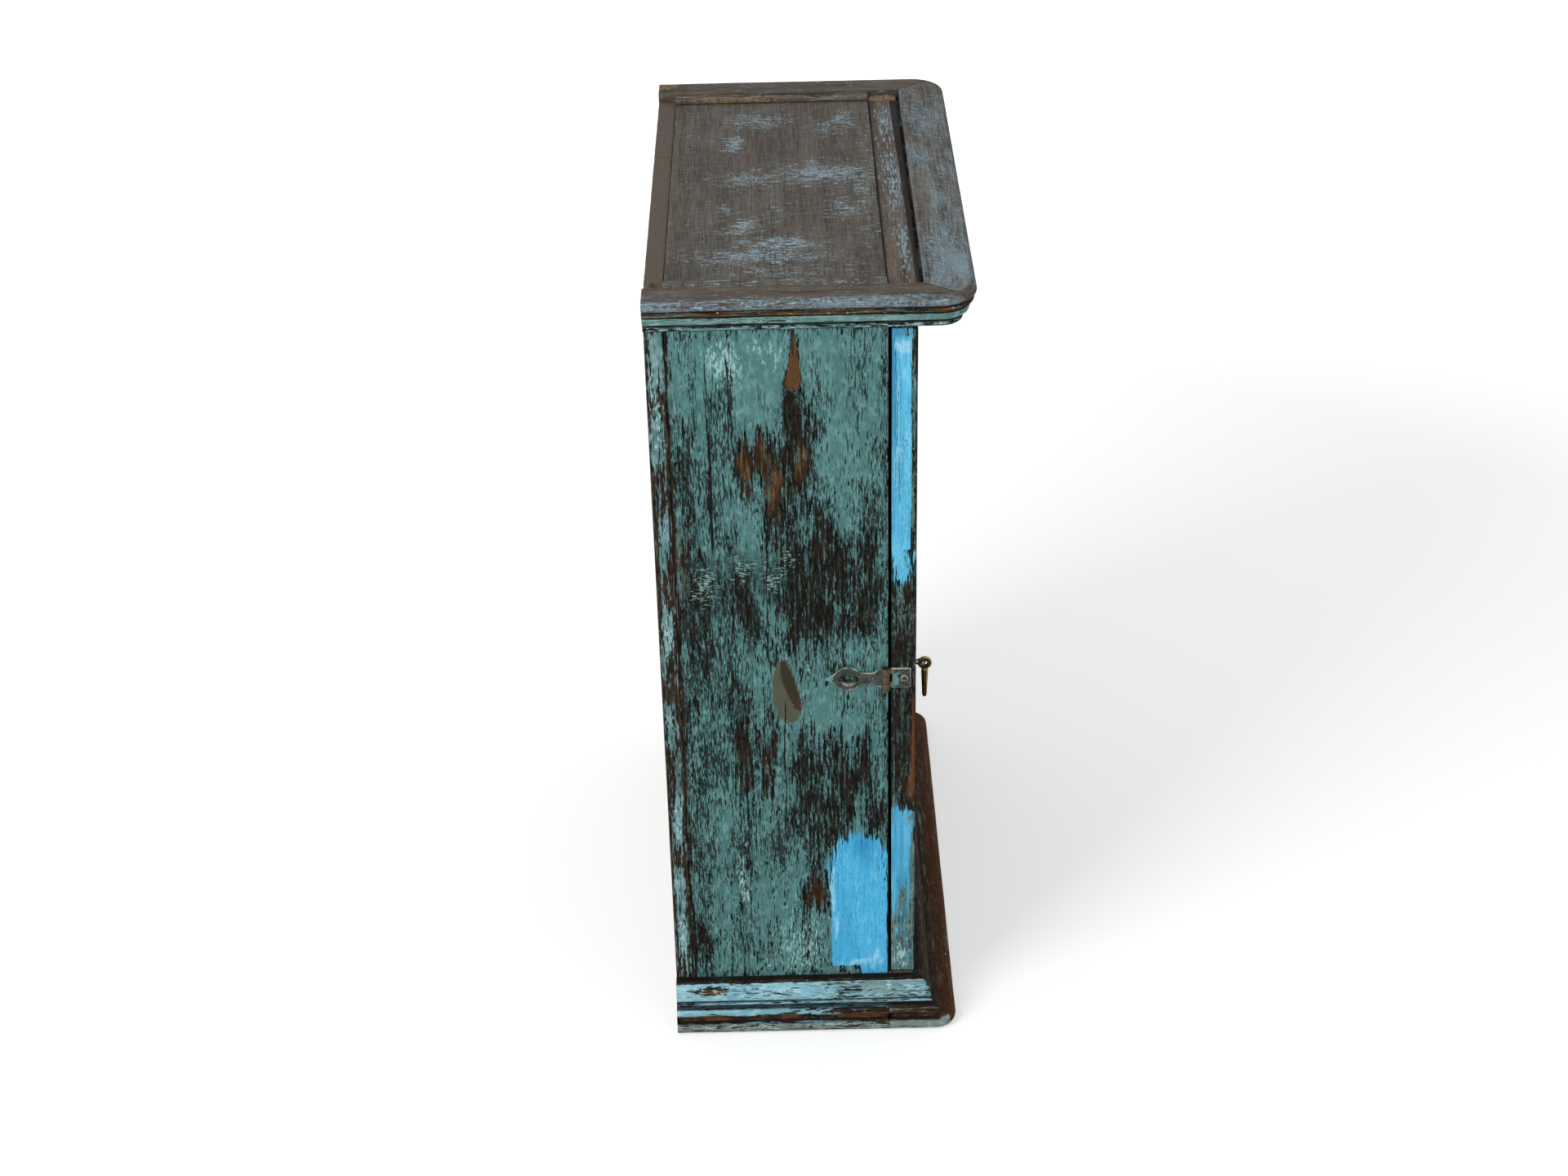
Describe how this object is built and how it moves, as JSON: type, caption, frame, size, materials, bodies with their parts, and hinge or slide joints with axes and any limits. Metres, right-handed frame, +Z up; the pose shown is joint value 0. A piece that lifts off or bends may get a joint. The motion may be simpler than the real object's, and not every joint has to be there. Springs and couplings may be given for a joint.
{
  "type": "wall cabinet",
  "caption": "Small painted wooden wall cabinet with a moulded plinth and cornice, one hinged panelled door, a hasp with staple and a drop pull",
  "frame": {"origin": "on the floor under the middle of the overall box, at the plane the cabinet stands on", "axes": "+Z up, -Y out of the door front, +Y to the wall, +X to the right of a person facing the door"},
  "size_m": [0.522, 0.2685, 0.742],
  "materials": {
    "side_paint": "teal paint worn through to dark wood",
    "inner_wood": "bare aged wood",
    "back_wood": "rough aged wood with old paint on its edges",
    "top_wood": "brown aged wood with grey-blue paint smears",
    "cap_paint": "grey-blue paint rubbed down to brown wood",
    "cornice_paint": "teal and light blue paint, dark in the hollows",
    "base_paint": "light blue and dark brown worn paint",
    "door_paint": "bright blue over teal paint, worn at the edges",
    "panel_paint": "teal paint worn through to dark wood",
    "hinge_iron": "dull rusted iron",
    "hasp_iron": "weathered grey-brown iron",
    "pull_bronze": "dark bronze with bright rubbed edges"
  },
  "bodies": {
    "case": {"side_left": "side_paint", "side_right": "side_paint", "bottom_board": "inner_wood", "shelf_lower": "inner_wood", "shelf_upper": "inner_wood", "cleats_lower": "inner_wood", "cleats_upper": "inner_wood", "hanging_rail": "inner_wood", "back_board_left": "back_wood", "back_board_middle": "back_wood", "back_board_right": "back_wood", "top_board": "top_wood", "front_top_rail": "top_wood", "batten_left": "top_wood", "batten_right": "top_wood", "cap_front": "cap_paint", "cap_left": "cap_paint", "cap_right": "cap_paint", "bed_mould_front": "cornice_paint", "bed_mould_left": "cornice_paint", "bed_mould_right": "cornice_paint", "front_base_rail": "base_paint", "ovolo_front": "base_paint", "ovolo_left": "base_paint", "ovolo_right": "base_paint", "scotia_front": "base_paint", "scotia_left": "base_paint", "scotia_right": "base_paint", "plinth_front": "base_paint", "plinth_left": "base_paint", "plinth_right": "base_paint", "case_leaf_upper": "hinge_iron", "case_leaf_lower": "hinge_iron", "case_leaf_screws": "hinge_iron", "hinge_pins": "hinge_iron", "back_nails": "hinge_iron", "staple": "hasp_iron"},
    "door": {"door_stile_left": "door_paint", "door_stile_right": "door_paint", "door_rail_top": "door_paint", "door_rail_middle": "door_paint", "door_rail_bottom": "door_paint", "door_panel_upper": "panel_paint", "door_panel_lower": "panel_paint", "door_beads_upper": "door_paint", "door_beads_lower": "door_paint", "door_pegs": "door_paint", "door_leaf_upper": "hinge_iron", "door_leaf_lower": "hinge_iron", "door_leaf_screws": "hinge_iron", "hasp_leaf": "hasp_iron", "hasp_rivet": "hasp_iron", "hasp_pin": "hasp_iron", "pull_cotter": "pull_bronze"},
    "hasp": {"hasp_strap": "hasp_iron"},
    "drop": {"pull_drop": "pull_bronze"}
  },
  "joints": [
    {"name": "door_swing", "type": "hinge", "parent": "case", "child": "door", "pos_m": [0.2408, -0.064, 0.382], "axis": [0, 0, 1], "range_deg": [0, 170]},
    {"name": "hasp_swing", "type": "hinge", "parent": "door", "child": "hasp", "pos_m": [-0.2412, -0.06055, 0.378], "axis": [0, 0, 1], "range_deg": [0, 170]},
    {"name": "drop_swing", "type": "hinge", "parent": "door", "child": "drop", "pos_m": [-0.2155, -0.09535, 0.3778], "axis": [-1, 0, 0], "range_deg": [-10, 90]}
  ]
}
